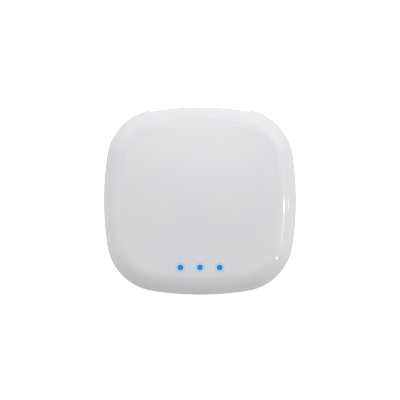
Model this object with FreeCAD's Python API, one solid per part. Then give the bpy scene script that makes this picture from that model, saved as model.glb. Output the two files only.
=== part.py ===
"""A smart home hub: a low, glossy, rounded-square box that stands on four rubber feet.

Millimetres, +Z up.  The origin is on the surface that the hub stands on, under its middle.  +Y is the
rear, where the cables plug in, and the three status lights are near the front edge, at -Y.
"""

import FreeCAD
import Part
import math
import os

from FreeCAD import Vector

# ---------------------------------------------------------------- driving dimensions
BODY_WIDTH = 90.0
BODY_DEPTH = 88.4
BODY_HEIGHT = 25.0
SIDE_RADIUS = 144.0  # plan radius of the four bowed sides
CORNER_RADIUS = 25.2  # plan radius of the four corners
DOME_RADIUS = 500.0
EDGE_RADIUS = 10.0
WALL = 2.0

FOOT_STANDOFF = 1.2  # how far the feet hold the case off the surface
SEAM_Z = 6.0  # the top cover's lower edge
SEAM_GAP = 0.3
CASE_INSET = 0.3  # the bottom case stands this far inside the cover
CASE_EDGE_RADIUS = 4.0
LIP_CLEARANCE = 0.15
LIP_THICKNESS = 1.2
LIP_TOP_Z = 8.6
FIT_GAP = 0.2  # clearance round pieces that are dropped into an opening

FLOOR_Z = FOOT_STANDOFF + WALL  # inner face of the case floor
BOARD_BOTTOM_Z = 7.0
BOARD_THICKNESS = 1.6
BOARD_Z = BOARD_BOTTOM_Z + BOARD_THICKNESS  # the face that the components stand on

FASTENER_X = 28.0  # the case screws, under the feet
FASTENER_Y = 27.5
FOOT_RADIUS = 5.0
FOOT_RECESS = 0.8
FOOT_CHAMFER = 0.35
BOARD_SCREW_X = 32.5
BOARD_SCREW_Y = 17.0

LIGHT_Y = -31.2  # the row of three status lights
LIGHT_PITCH = 9.1
LIGHT_XS = (-LIGHT_PITCH, 0.0, LIGHT_PITCH)
LIGHT_TIP_RADIUS = 1.15
LIGHT_HOLE_RADIUS = LIGHT_TIP_RADIUS + 0.1

PORT_BAY_HALF = 24.0  # the notch in the cover's rear wall
PORT_BAY_TOP_Z = 17.6
BAY_FRONT_Y = 36.0
BAY_CORNER = 2.0
PANEL_Y = 41.6  # outer face of the port panel
PANEL_THICKNESS = 2.2
PANEL_BACK_Y = PANEL_Y - PANEL_THICKNESS

NET_X = -12.0  # network socket
NET_WIDTH = 16.0
NET_BOTTOM_Z = 4.4
NET_TOP_Z = 16.2
NET_FRONT_Y = 41.2
NET_BACK_Y = 24.0

POWER_X = 15.0  # power socket
POWER_Z = 10.3
POWER_WIDTH = 8.94
POWER_HEIGHT = 3.26
POWER_FRONT_Y = 41.3
POWER_BACK_Y = 33.9
POWER_RIM_GAP = 0.3

RESET_X = 4.0
RESET_Z = 11.0
RESET_RADIUS = 2.0
RESET_CLEARANCE = 0.1

KEYHOLE_X = 30.0
KEYHOLE_Y = 2.5
KEYHOLE_RADIUS = 4.0
KEYHOLE_SLOT = 2.1  # half the slot's width
KEYHOLE_TRAVEL = 7.0

Y_AXIS, Z_AXIS = Vector(0, 1, 0), Vector(0, 0, 1)
CORNER_SIGNS = [(sx, sy) for sy in (-1, 1) for sx in (-1, 1)]


# ---------------------------------------------------------------- shape helpers
def box(x0, x1, y0, y1, z0, z1):
    return Part.makeBox(x1 - x0, y1 - y0, z1 - z0, Vector(x0, y0, z0))


def block(cx, cy, z0, sx, sy, sz):
    """A box standing on z0, given by its middle and its size."""
    return box(cx - sx / 2, cx + sx / 2, cy - sy / 2, cy + sy / 2, z0, z0 + sz)


def disc(cx, cy, z0, radius, height):
    return Part.makeCylinder(radius, height, Vector(cx, cy, z0))


def rod_y(cx, y0, cz, radius, length):
    """A cylinder along +Y."""
    return Part.makeCylinder(radius, length, Vector(cx, y0, cz), Y_AXIS)


def fused(shapes):
    whole = shapes[0]
    if len(shapes) > 1:
        whole = whole.multiFuse(shapes[1:])
    return whole.removeSplitter()


def cut_by(shape, tools):
    return shape.cut(Part.makeCompound(tools))


def prism(points, z0, height):
    """A straight-sided solid over a closed outline of (x, y) points."""
    ring = [Vector(x, y, z0) for x, y in points]
    return Part.Face(Part.makePolygon(ring + ring[:1])).extrude(Vector(0, 0, height))


def extruded_x(points, x0, length):
    """A solid over a closed outline of (y, z) points, drawn out along +X."""
    ring = [Vector(x0, y, z) for y, z in points]
    return Part.Face(Part.makePolygon(ring + ring[:1])).extrude(Vector(length, 0, 0))


def rounded_block(cx, cy, z0, sx, sy, sz, radius):
    """A block with its four upright edges rounded."""
    whole = block(cx, cy, z0, sx, sy, sz)
    upright = [e for e in whole.Edges if abs(e.tangentAt(e.FirstParameter).z) > 0.99]
    return whole.makeFillet(radius, upright)


def obround_y(cx, cz, y0, width, height, length):
    """A flat-sided oval across X, drawn out along +Y."""
    radius = height / 2
    reach = (width - height) / 2
    return fused(
        [
            rod_y(cx - reach, y0, cz, radius, length),
            rod_y(cx + reach, y0, cz, radius, length),
            box(cx - reach, cx + reach, y0, y0 + length, cz - radius, cz + radius),
        ]
    )


def slot_z(cx, cy, z0, width, length, height):
    """An upright slot with round ends, its length along Y."""
    reach = (length - width) / 2
    return fused(
        [
            disc(cx, cy - reach, z0, width / 2, height),
            disc(cx, cy + reach, z0, width / 2, height),
            block(cx, cy, z0, width, 2 * reach, height),
        ]
    )


def close(a, b):
    return abs(a - b) < 1e-4


def edges_at_z(shape, z):
    """The edges that lie in the plane at z."""
    return [e for e in shape.Edges if close(e.BoundBox.ZMin, z) and close(e.BoundBox.ZMax, z)]


# ---------------------------------------------------------------- the plan outline
def corner_centre():
    """The centre of the corner arc that is tangent to the two bowed sides, in the +X +Y quarter."""
    side = Vector(BODY_WIDTH / 2 - SIDE_RADIUS, 0, 0)
    end = Vector(0, BODY_DEPTH / 2 - SIDE_RADIUS, 0)
    half_span = (end - side) / 2
    rise = math.sqrt((SIDE_RADIUS - CORNER_RADIUS) ** 2 - half_span.Length**2)
    outward = Vector(-half_span.y, half_span.x, 0).normalize()
    return side + half_span + outward * rise


def outline(inset, z):
    """The hub's plan outline, moved inwards by inset: four bowed sides and four corners, all tangent."""
    half_x, half_y = BODY_WIDTH / 2 - inset, BODY_DEPTH / 2 - inset
    side_radius = SIDE_RADIUS - inset
    centre = corner_centre()
    side_angle = math.atan2(centre.y, centre.x + SIDE_RADIUS - BODY_WIDTH / 2)
    end_angle = math.atan2(centre.y + SIDE_RADIUS - BODY_DEPTH / 2, centre.x)
    to_side = Vector(math.cos(side_angle), math.sin(side_angle), 0) * side_radius
    to_end = Vector(math.cos(end_angle), math.sin(end_angle), 0) * side_radius
    on_side = Vector(half_x - side_radius, 0, z) + to_side
    on_end = Vector(0, half_y - side_radius, z) + to_end
    middle = (side_angle + end_angle) / 2
    reach = CORNER_RADIUS - inset
    on_corner = Vector(centre.x + reach * math.cos(middle), centre.y + reach * math.sin(middle), z)

    def at(point, sx, sy):
        return Vector(sx * point.x, sy * point.y, z)

    arcs = []
    for sx, sy in ((1, 1), (-1, 1), (-1, -1), (1, -1)):
        first, last = (on_side, on_end) if sx * sy > 0 else (on_end, on_side)
        arcs.append(Part.Arc(at(first, sx, sy), at(on_corner, sx, sy), at(last, sx, sy)))
        if sx * sy > 0:
            arcs.append(Part.Arc(at(on_end, sx, sy), Vector(0, sy * half_y, z), at(on_end, -sx, sy)))
        else:
            arcs.append(Part.Arc(at(on_side, sx, sy), Vector(sx * half_x, 0, z), at(on_side, sx, -sy)))
    return Part.Wire([a.toShape() for a in arcs])


def slab(inset, z0, z1):
    """A straight-sided solid with the hub's outline."""
    return Part.Face(outline(inset, z0)).extrude(Vector(0, 0, z1 - z0))


def dome_ball(inset):
    return Part.makeSphere(DOME_RADIUS - inset, Vector(0, 0, BODY_HEIGHT - DOME_RADIUS))


def pebble(inset, z0):
    """A slab closed by the domed top and rounded over at its edge, every face moved inwards by inset."""
    whole = slab(inset, z0, BODY_HEIGHT + 1).common(dome_ball(inset))
    rim = [e for e in whole.Edges if e.BoundBox.ZMin > BODY_HEIGHT / 2]
    return whole.makeFillet(EDGE_RADIUS - inset, rim)


# ---------------------------------------------------------------- casing
BOSS_RADIUS = 3.2
BOSS_BORE = 1.4
BOSS_BOTTOM_Z = 8.5
BOSS_BORE_TOP_Z = 18.5
WEB_BOTTOM_Z = 16.2
WEB_SPAN = 2 * BOSS_RADIUS + 5.0
WEB_THICKNESS = 1.0
RIM_SOFTENING = 0.3  # the small round on the two edges that meet at the seam


def top_cover():
    outside = pebble(0, SEAM_Z)
    outside = outside.makeFillet(RIM_SOFTENING, edges_at_z(outside, SEAM_Z))
    cover = outside.cut(pebble(WALL, SEAM_Z - 1))
    stiffeners = []
    for sx, sy in CORNER_SIGNS:
        x, y = sx * FASTENER_X, sy * FASTENER_Y
        web_height = BODY_HEIGHT - WEB_BOTTOM_Z
        stiffeners.append(disc(x, y, BOSS_BOTTOM_Z, BOSS_RADIUS, BODY_HEIGHT - BOSS_BOTTOM_Z))
        stiffeners.append(block(x, y, WEB_BOTTOM_Z, WEB_SPAN, WEB_THICKNESS, web_height))
        stiffeners.append(block(x, y, WEB_BOTTOM_Z, WEB_THICKNESS, WEB_SPAN, web_height))
    cover = fused([cover, fused(stiffeners).common(pebble(WALL / 2, SEAM_Z - 1))])
    tools = [port_bay()]
    for sx, sy in CORNER_SIGNS:
        tools.append(disc(sx * FASTENER_X, sy * FASTENER_Y, 0, BOSS_BORE, BOSS_BORE_TOP_Z))
    tools += [disc(x, LIGHT_Y, GUIDE_BAR_Z, LIGHT_HOLE_RADIUS, BODY_HEIGHT) for x in LIGHT_XS]
    return cut_by(cover, tools)


def port_bay():
    """The space cut out of the cover's rear wall, round at its two upper corners."""
    bay = box(-PORT_BAY_HALF, PORT_BAY_HALF, BAY_FRONT_Y, BODY_DEPTH, 0, PORT_BAY_TOP_Z)
    return bay.makeFillet(BAY_CORNER, top_corners_along_y(bay, PORT_BAY_TOP_Z))


def top_corners_along_y(shape, z):
    """The two edges at height z that run front to back."""
    return [e for e in edges_at_z(shape, z) if e.BoundBox.YLength > e.BoundBox.XLength]


def keyhole(x, z0, height):
    """A round entry hole with a slot leading away from it towards the front."""
    slot_end_y = KEYHOLE_Y - KEYHOLE_TRAVEL
    return fused(
        [
            disc(x, KEYHOLE_Y, z0, KEYHOLE_RADIUS, height),
            disc(x, slot_end_y, z0, KEYHOLE_SLOT, height),
            box(x - KEYHOLE_SLOT, x + KEYHOLE_SLOT, slot_end_y, KEYHOLE_Y, z0, z0 + height),
        ]
    )


def keyhole_pocket(x, grow, z0, height):
    """The room behind a keyhole where the screw's head travels."""
    radius = KEYHOLE_RADIUS + grow
    return slot_z(x, KEYHOLE_Y - KEYHOLE_TRAVEL / 2, z0, 2 * radius, 2 * radius + KEYHOLE_TRAVEL, height)


POCKET_TOP_Z = 6.6
POCKET_SKIN = 0.6
POCKET_ROOM = 0.4  # how much wider the pocket is than the keyhole's round end
POCKET_WALL = POCKET_ROOM + 1.0
PILLAR_RADIUS = 3.6
PILLAR_TOP_Z = BOSS_BOTTOM_Z - 0.1
SCREW_SEAT_Z = 4.6
SCREW_HOLE = 1.5
HEAD_HOLE = 2.8
POST_RADIUS = 2.8
POST_BORE = 1.05
POST_BORE_BOTTOM_Z = FLOOR_Z + 0.4
LIP_GAP_BESIDE_PANEL = 1.4
VENT_WIDTH = 1.5
VENT_LENGTH = 11.0
VENT_PITCH = 3.6
VENT_COUNT = 9
VENT_Y = 24.5
LABEL_X, LABEL_Y = 42.0, 24.0
LABEL_RECESS, LABEL_THICKNESS, LABEL_CORNER = 0.3, 0.15, 2.0


def bottom_case():
    """The tray: a floor and low walls, posts for the board, pillars for the screws, and the port panel."""
    tray = tray_shell()
    posts, holes = fastener_features()
    pockets, slots = keyhole_features()
    whole = fused([tray, port_panel()] + posts + pockets)
    holes += slots + vents() + port_openings()
    holes.append(label_plate(FOOT_STANDOFF - 1, LABEL_RECESS + 1, FIT_GAP))
    return cut_by(whole, holes).removeSplitter()


def tray_shell():
    top_z = SEAM_Z - SEAM_GAP
    outside = slab(CASE_INSET, FOOT_STANDOFF, top_z)
    outside = outside.makeFillet(CASE_EDGE_RADIUS, edges_at_z(outside, FOOT_STANDOFF))
    outside = outside.makeFillet(RIM_SOFTENING, edges_at_z(outside, top_z))
    lip_inset = WALL + LIP_CLEARANCE
    lip = slab(lip_inset, FLOOR_Z, LIP_TOP_Z)
    hollow = slab(lip_inset + LIP_THICKNESS, FLOOR_Z, LIP_TOP_Z + 1)
    half = PORT_BAY_HALF + LIP_GAP_BESIDE_PANEL
    rear_gap = box(-half, half, BAY_FRONT_Y, PANEL_Y, top_z, LIP_TOP_Z + 1)
    return outside.fuse(lip).cut(hollow).cut(rear_gap)


def fastener_features():
    """(pillars and posts, their holes) for the case screws and the board screws."""
    solids, holes = [], []
    root_z = FLOOR_Z - 1  # every post starts inside the floor
    for sx, sy in CORNER_SIGNS:
        x, y = sx * FASTENER_X, sy * FASTENER_Y
        solids.append(disc(x, y, root_z, PILLAR_RADIUS, PILLAR_TOP_Z - root_z))
        holes.append(disc(x, y, 0, SCREW_HOLE, PILLAR_TOP_Z + 1))
        holes.append(disc(x, y, 0, HEAD_HOLE, SCREW_SEAT_Z))
        holes.append(disc(x, y, 0, FOOT_RADIUS + FIT_GAP / 2, FOOT_STANDOFF + FOOT_RECESS))
        x, y = sx * BOARD_SCREW_X, sy * BOARD_SCREW_Y
        solids.append(disc(x, y, root_z, POST_RADIUS, BOARD_BOTTOM_Z - root_z))
        holes.append(disc(x, y, POST_BORE_BOTTOM_Z, POST_BORE, BOARD_Z))
    return solids, holes


def keyhole_features():
    """(the raised pockets, the room cut in them) for hanging the hub on two screws."""
    root_z = FLOOR_Z - 1
    solids, holes = [], []
    for x in (-KEYHOLE_X, KEYHOLE_X):
        solids.append(keyhole_pocket(x, POCKET_WALL, root_z, POCKET_TOP_Z - root_z))
        holes.append(keyhole(x, 0, FLOOR_Z))
        holes.append(keyhole_pocket(x, POCKET_ROOM, FLOOR_Z, POCKET_TOP_Z - POCKET_SKIN - FLOOR_Z))
    return solids, holes


def vents():
    """Two rows of slots through the floor."""
    slots = []
    for y in (-VENT_Y, VENT_Y):
        for i in range(VENT_COUNT):
            x = (i - (VENT_COUNT - 1) / 2) * VENT_PITCH
            slots.append(slot_z(x, y, 0, VENT_WIDTH, VENT_LENGTH, FLOOR_Z + 1))
    return slots


PANEL_GAP = 0.3  # between the panel and the cover's notch
PANEL_HALF = PORT_BAY_HALF - PANEL_GAP
PANEL_TOP_Z = PORT_BAY_TOP_Z - PANEL_GAP
PANEL_BOTTOM_Z = FOOT_STANDOFF + CASE_EDGE_RADIUS
FLANGE_FRONT_Y = 39.2
FLANGE_BACK_Y = 37.9
FLANGE_HALF = PORT_BAY_HALF + 0.8
FLANGE_TOP_Z = PORT_BAY_TOP_Z + 0.4
FLANGE_CLEARANCE = 0.3  # between the flange and the cover's inner skin
FLANGE_BAND = 0.8  # how far the flange also reaches inside the panel's edges


def port_panel():
    """The upright wall that fills the cover's notch, with a flange behind the notch's edges."""
    plate = box(-PANEL_HALF, PANEL_HALF, FLANGE_FRONT_Y, PANEL_Y, PANEL_BOTTOM_Z, PANEL_TOP_Z)
    plate = plate.makeFillet(BAY_CORNER - PANEL_GAP, top_corners_along_y(plate, PANEL_TOP_Z))
    flange = box(-FLANGE_HALF, FLANGE_HALF, FLANGE_BACK_Y, FLANGE_FRONT_Y, FLOOR_Z - 1, FLANGE_TOP_Z)
    flange = flange.common(pebble(WALL + FLANGE_CLEARANCE, 0))
    half = PANEL_HALF - FLANGE_BAND
    window = box(-half, half, FLANGE_BACK_Y, PANEL_BACK_Y, FLOOR_Z, PANEL_TOP_Z - FLANGE_BAND)
    return fused([plate, flange]).cut(window)


def port_openings():
    """The holes in the panel for the two sockets and the button."""
    start_y, reach = BAY_FRONT_Y, PANEL_Y - BAY_FRONT_Y + 1
    x0 = NET_X - NET_WIDTH / 2 - FIT_GAP
    x1 = NET_X + NET_WIDTH / 2 + FIT_GAP
    net = box(x0, x1, start_y, BODY_DEPTH, SEAM_Z - SEAM_GAP, NET_TOP_Z + FIT_GAP)
    net_room = box(x0, x1, start_y, NET_FRONT_Y + FIT_GAP, NET_BOTTOM_Z - FIT_GAP, NET_TOP_Z)
    rim = 2 * POWER_RIM_GAP
    power = obround_y(POWER_X, POWER_Z, start_y, POWER_WIDTH + rim, POWER_HEIGHT + rim, reach)
    button = rod_y(RESET_X, start_y, RESET_Z, RESET_RADIUS + RESET_CLEARANCE, reach)
    return [net, net_room, power, button]


def foot(sx, sy):
    """A stick-on rubber foot with a chamfered edge, which hides a case screw."""
    whole = disc(sx * FASTENER_X, sy * FASTENER_Y, 0, FOOT_RADIUS, FOOT_STANDOFF + FOOT_RECESS)
    return whole.makeChamfer(FOOT_CHAMFER, edges_at_z(whole, 0))


def label_plate(z0, thickness, grow):
    return rounded_block(0, 0, z0, LABEL_X + 2 * grow, LABEL_Y + 2 * grow, thickness, LABEL_CORNER + grow)


def rating_label():
    """A plain label, set into a shallow recess under the case."""
    return label_plate(FOOT_STANDOFF + LABEL_RECESS - LABEL_THICKNESS, LABEL_THICKNESS, 0)


def tapping_screw(x, y, seat_z, length, direction, head_radius, head_height, thread_radius, pitch):
    """A pan-head screw turned from one profile: its thread is a row of sharp rings.

    direction is +1 for a screw that points up and -1 for one that points down.
    """
    core = thread_radius * 0.72
    profile = [(0, -head_height), (head_radius * 0.72, -head_height), (head_radius, -head_height * 0.55)]
    profile += [(head_radius, 0), (core, 0)]
    turns = int((length - 2.2) / pitch)
    z = 0.7
    for _ in range(turns):
        profile += [(core, z), (thread_radius, z + pitch * 0.45), (core, z + pitch * 0.9)]
        z += pitch
    profile += [(core, length - 1.0), (0, length)]
    points = [Vector(x + r, y, seat_z + direction * h) for r, h in profile]
    face = Part.Face(Part.makePolygon(points + points[:1]))
    screw = face.revolve(Vector(x, y, 0), Z_AXIS, 360)
    bottom = seat_z - direction * head_height
    low = bottom if direction > 0 else bottom - 1.1
    wing, depth = head_radius * 1.1, 1.1
    recess = [block(x, y, low, wing, 0.55, depth), block(x, y, low, 0.55, wing, depth)]
    return screw.cut(fused(recess))


def case_screws():
    return [
        tapping_screw(sx * FASTENER_X, sy * FASTENER_Y, SCREW_SEAT_Z, 12.0, 1, 2.5, 2.0, 1.3, 1.1)
        for sx, sy in CORNER_SIGNS
    ]


def board_screws():
    return [
        tapping_screw(sx * BOARD_SCREW_X, sy * BOARD_SCREW_Y, BOARD_Z, 4.8, -1, 2.4, 1.6, 1.0, 0.8)
        for sx, sy in CORNER_SIGNS
    ]


# ---------------------------------------------------------------- circuit board
BOARD_HALF_X = 37.4
BOARD_WING_Y = 23.2
BOARD_NECK_X = 24.0
BOARD_FRONT_Y = -37.0
BOARD_REAR_Y = 37.6
BOARD_TAB_Y = 39.0  # a tab carries the power socket
BOARD_TAB_HALF = 6.2
PEG_X = 15.5
HEADER_X, HEADER_Y, HEADER_PITCH, HEADER_PINS = -19.0, -20.0, 2.0, 4


def header_ys():
    return [HEADER_Y + (i - (HEADER_PINS - 1) / 2) * HEADER_PITCH for i in range(HEADER_PINS)]


def main_board():
    net_edge = NET_WIDTH / 2 + FIT_GAP
    points = [
        (-BOARD_NECK_X, BOARD_FRONT_Y),
        (BOARD_NECK_X, BOARD_FRONT_Y),
        (BOARD_NECK_X, -BOARD_WING_Y),
        (BOARD_HALF_X, -BOARD_WING_Y),
        (BOARD_HALF_X, BOARD_WING_Y),
        (BOARD_NECK_X, BOARD_WING_Y),
        (BOARD_NECK_X, BOARD_REAR_Y),
        (POWER_X + BOARD_TAB_HALF, BOARD_REAR_Y),
        (POWER_X + BOARD_TAB_HALF, BOARD_TAB_Y),
        (POWER_X - BOARD_TAB_HALF, BOARD_TAB_Y),
        (POWER_X - BOARD_TAB_HALF, BOARD_REAR_Y),
        (NET_X + net_edge, BOARD_REAR_Y),
        (NET_X + net_edge, NET_BACK_Y - FIT_GAP),
        (NET_X - net_edge, NET_BACK_Y - FIT_GAP),
        (NET_X - net_edge, BOARD_REAR_Y),
        (-BOARD_NECK_X, BOARD_REAR_Y),
        (-BOARD_NECK_X, BOARD_WING_Y),
        (-BOARD_HALF_X, BOARD_WING_Y),
        (-BOARD_HALF_X, -BOARD_WING_Y),
        (-BOARD_NECK_X, -BOARD_WING_Y),
    ]
    board = prism(points, BOARD_BOTTOM_Z, BOARD_THICKNESS)
    outer_corners = [(sx * BOARD_HALF_X, sy * BOARD_WING_Y) for sx, sy in CORNER_SIGNS]
    outer_corners += [(sx * BOARD_NECK_X, BOARD_FRONT_Y) for sx in (-1, 1)]
    inner_corners = [(sx * BOARD_NECK_X, sy * BOARD_WING_Y) for sx, sy in CORNER_SIGNS]
    board = round_corners(board, outer_corners, 2.0)
    board = round_corners(board, inner_corners, 1.5)
    holes = [disc(sx * BOARD_SCREW_X, sy * BOARD_SCREW_Y, 0, 1.3, 20) for sx, sy in CORNER_SIGNS]
    holes += [disc(sx * PEG_X, LIGHT_Y, 0, 0.85, 20) for sx in (-1, 1)]
    holes += [disc(HEADER_X, y, 0, 0.5, 20) for y in header_ys()]
    return cut_by(board, holes)


def round_corners(board, corners, radius):
    edges = []
    for e in board.Edges:
        middle = e.CenterOfMass
        upright = e.BoundBox.ZLength > BOARD_THICKNESS / 2
        if upright and any(math.hypot(middle.x - x, middle.y - y) < 1e-3 for x, y in corners):
            edges.append(e)
    return board.makeFillet(radius, edges)


# ---------------------------------------------------------------- status lights
LED_HEIGHT = 0.8
LED_LENGTH, LED_DEPTH = 2.0, 1.25
GUIDE_BAR_Z, GUIDE_BAR_TOP_Z = 16.0, 18.0
GUIDE_BAR_LENGTH, GUIDE_BAR_DEPTH = 2 * PEG_X + 4.0, 4.0
GUIDE_ROD_RADIUS = 1.7  # below the bar; a cone narrows it to the tip's radius above the bar
GUIDE_CONE_HEIGHT = 2.0
GUIDE_LEG = 3.0
PEG_RADIUS = 0.75
LED_GAP = 0.3
BAFFLE_TOP_Z = 15.7
BAFFLE_LENGTH, BAFFLE_DEPTH = 2 * LIGHT_PITCH + 7.0, 6.4
BAFFLE_BORE = GUIDE_ROD_RADIUS + 0.25


def status_leds():
    return [block(x, LIGHT_Y, BOARD_Z, LED_LENGTH, LED_DEPTH, LED_HEIGHT) for x in LIGHT_XS]


def light_guide():
    """One clear moulding: three rods joined by a bar, on two legs with pegs through the board."""
    bar_height = GUIDE_BAR_TOP_Z - GUIDE_BAR_Z
    pieces = [rounded_block(0, LIGHT_Y, GUIDE_BAR_Z, GUIDE_BAR_LENGTH, GUIDE_BAR_DEPTH, bar_height, 1.0)]
    rod_bottom = BOARD_Z + LED_HEIGHT + LED_GAP
    for x in LIGHT_XS:
        cone_base = Vector(x, LIGHT_Y, GUIDE_BAR_TOP_Z)
        pieces.append(disc(x, LIGHT_Y, rod_bottom, GUIDE_ROD_RADIUS, GUIDE_BAR_TOP_Z - rod_bottom))
        pieces.append(Part.makeCone(GUIDE_ROD_RADIUS, LIGHT_TIP_RADIUS, GUIDE_CONE_HEIGHT, cone_base))
        pieces.append(disc(x, LIGHT_Y, GUIDE_BAR_TOP_Z, LIGHT_TIP_RADIUS, BODY_HEIGHT))
    for x in (-PEG_X, PEG_X):
        leg_height = GUIDE_BAR_TOP_Z - BOARD_Z - bar_height / 2
        pieces.append(rounded_block(x, LIGHT_Y, BOARD_Z, GUIDE_LEG, GUIDE_LEG, leg_height, 0.5))
        pieces.append(disc(x, LIGHT_Y, BOARD_BOTTOM_Z - 0.6, PEG_RADIUS, BOARD_THICKNESS + 1.0))
    return fused(pieces).common(dome_ball(0))


def light_baffle():
    """A black block on the board that keeps each light's glow in its own rod."""
    height = BAFFLE_TOP_Z - BOARD_Z
    whole = rounded_block(0, LIGHT_Y, BOARD_Z, BAFFLE_LENGTH, BAFFLE_DEPTH, height, 1.2)
    return cut_by(whole, [disc(x, LIGHT_Y, BOARD_Z, BAFFLE_BORE, height) for x in LIGHT_XS])


# ---------------------------------------------------------------- reset button and its switch
SWITCH_BACK_Y, SWITCH_FRONT_Y = 33.2, 37.0
SWITCH_TOP_Z = 13.4
DOME_SEAT_Y = 35.6
SWITCH_HALF = 3.0
SWITCH_ROOM = 2.1
PLUNGER_FLANGE_Y = 36.2
PLUNGER_FLANGE_RADIUS, PLUNGER_FLANGE_THICKNESS = 1.95, 0.6
PLUNGER_RADIUS = 1.3
BRACKET_SHEET = 0.25
BUTTON_BACK_Y = 38.4
BUTTON_FRONT_Y = 41.35
BUTTON_FLANGE = 0.8  # how far the flange stands out, and its thickness
DISH_RADIUS, DISH_DEPTH = 6.0, 0.15
SNAP_RISE, SNAP_RIM, SNAP_SKIN = 0.5, 1.9, 0.08


def reset_button():
    """A round cap with a flange behind the panel and a shallow dish for a fingertip or a pin."""
    cap = rod_y(RESET_X, BUTTON_BACK_Y, RESET_Z, RESET_RADIUS, BUTTON_FRONT_Y - BUTTON_BACK_Y)
    cap = cap.makeFillet(RIM_SOFTENING, [e for e in cap.Edges if close(e.BoundBox.YMin, BUTTON_FRONT_Y)])
    flange = rod_y(RESET_X, BUTTON_BACK_Y, RESET_Z, RESET_RADIUS + BUTTON_FLANGE, BUTTON_FLANGE)
    dish_centre = Vector(RESET_X, BUTTON_FRONT_Y + DISH_RADIUS - DISH_DEPTH, RESET_Z)
    return fused([cap, flange]).cut(Part.makeSphere(DISH_RADIUS, dish_centre))


def reset_switch_body():
    x0, x1 = RESET_X - SWITCH_HALF, RESET_X + SWITCH_HALF
    whole = box(x0, x1, SWITCH_BACK_Y, SWITCH_FRONT_Y, BOARD_Z, SWITCH_TOP_Z)
    upright = [e for e in whole.Edges if e.BoundBox.ZLength > 1]
    room = rod_y(RESET_X, DOME_SEAT_Y, RESET_Z, SWITCH_ROOM, SWITCH_FRONT_Y - DOME_SEAT_Y)
    return whole.makeChamfer(0.3, upright).cut(room)


def reset_switch_plunger():
    flange = rod_y(RESET_X, PLUNGER_FLANGE_Y, RESET_Z, PLUNGER_FLANGE_RADIUS, PLUNGER_FLANGE_THICKNESS)
    stem = rod_y(RESET_X, PLUNGER_FLANGE_Y, RESET_Z, PLUNGER_RADIUS, BUTTON_BACK_Y - PLUNGER_FLANGE_Y)
    return fused([flange, stem])


def reset_switch_snap_disc():
    """The thin domed steel disc behind the plunger, which clicks flat when it is pressed."""
    radius = (SNAP_RIM**2 + SNAP_RISE**2) / (2 * SNAP_RISE)
    centre = Vector(RESET_X, DOME_SEAT_Y + SNAP_RISE - radius, RESET_Z)
    skin = Part.makeSphere(radius, centre).cut(Part.makeSphere(radius - SNAP_SKIN, centre))
    return skin.common(rod_y(RESET_X, DOME_SEAT_Y, RESET_Z, SNAP_RIM, 2 * SNAP_RISE))


def reset_switch_bracket():
    """The folded steel plate that holds the plunger in and ties the switch to the board."""
    half = SWITCH_HALF + BRACKET_SHEET
    front_y = SWITCH_FRONT_Y + BRACKET_SHEET
    front = box(RESET_X - half, RESET_X + half, SWITCH_FRONT_Y, front_y, BOARD_Z, SWITCH_TOP_Z)
    pieces = [front.cut(rod_y(RESET_X, SWITCH_BACK_Y, RESET_Z, PLUNGER_RADIUS + 0.15, 10))]
    for side in (-1, 1):
        arm_x = RESET_X + side * (SWITCH_HALF + BRACKET_SHEET / 2)
        arm_y = (SWITCH_BACK_Y + 0.8 + front_y) / 2
        arm_length = front_y - SWITCH_BACK_Y - 0.8
        pieces.append(block(arm_x, arm_y, BOARD_Z, BRACKET_SHEET, arm_length, 2.6))
        foot_x = RESET_X + side * (SWITCH_HALF + 0.7)
        pieces.append(block(foot_x, SWITCH_BACK_Y + 2.0, BOARD_Z, 1.2, 1.6, BRACKET_SHEET))
    return fused(pieces)


# ---------------------------------------------------------------- network socket
NET_SHEET = 0.3
NET_EAR_YS = (NET_BACK_Y + 3.2, NET_FRONT_Y - 5.8)
CAVITY_HALF = 5.95
CAVITY_Z0, CAVITY_Z1 = 7.6, 14.4
CAVITY_BACK_Y = 28.5
GROOVE_FRONT_Y = 38.4
LATCH_HALF, LATCH_Z0 = 3.1, 6.0
CATCH_HALF, CATCH_Z0 = 1.6, 5.5
WIRE_PITCH, WIRE_COUNT = 1.02, 8
HOUSING_FRONT_Y = NET_FRONT_Y - 0.25


def wire_xs():
    return [NET_X + (i - (WIRE_COUNT - 1) / 2) * WIRE_PITCH for i in range(WIRE_COUNT)]


def network_socket_shield():
    """A tin box folded from sheet, open at the front, with ears that solder to the board."""
    half = NET_WIDTH / 2
    outer = box(NET_X - half, NET_X + half, NET_BACK_Y, NET_FRONT_Y, NET_BOTTOM_Z, NET_TOP_Z)
    inner_half = half - NET_SHEET
    inner_bottom, inner_top = NET_BOTTOM_Z + NET_SHEET, NET_TOP_Z - NET_SHEET
    inner_back = NET_BACK_Y + NET_SHEET
    inner = box(NET_X - inner_half, NET_X + inner_half, inner_back, BODY_DEPTH, inner_bottom, inner_top)
    pieces = [outer]
    for side in (-1, 1):
        for y in NET_EAR_YS:
            pieces.append(block(NET_X + side * (half + 0.9), y, BOARD_Z, 2.0, 2.4, NET_SHEET))
        spring_y = NET_FRONT_Y - 4.1
        pieces.append(block(NET_X + side * 4.5, spring_y, NET_TOP_Z - 0.05, 2.0, 3.8, 0.15))
    return fused(pieces).cut(inner)


def light_windows():
    """The two small lamp windows under the plug cavity, one each side of the latch."""
    return [box(NET_X + x - 1.3, NET_X + x + 1.3, 36.0, HOUSING_FRONT_Y, 5.9, 7.3) for x in (-5.6, 5.6)]


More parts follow.
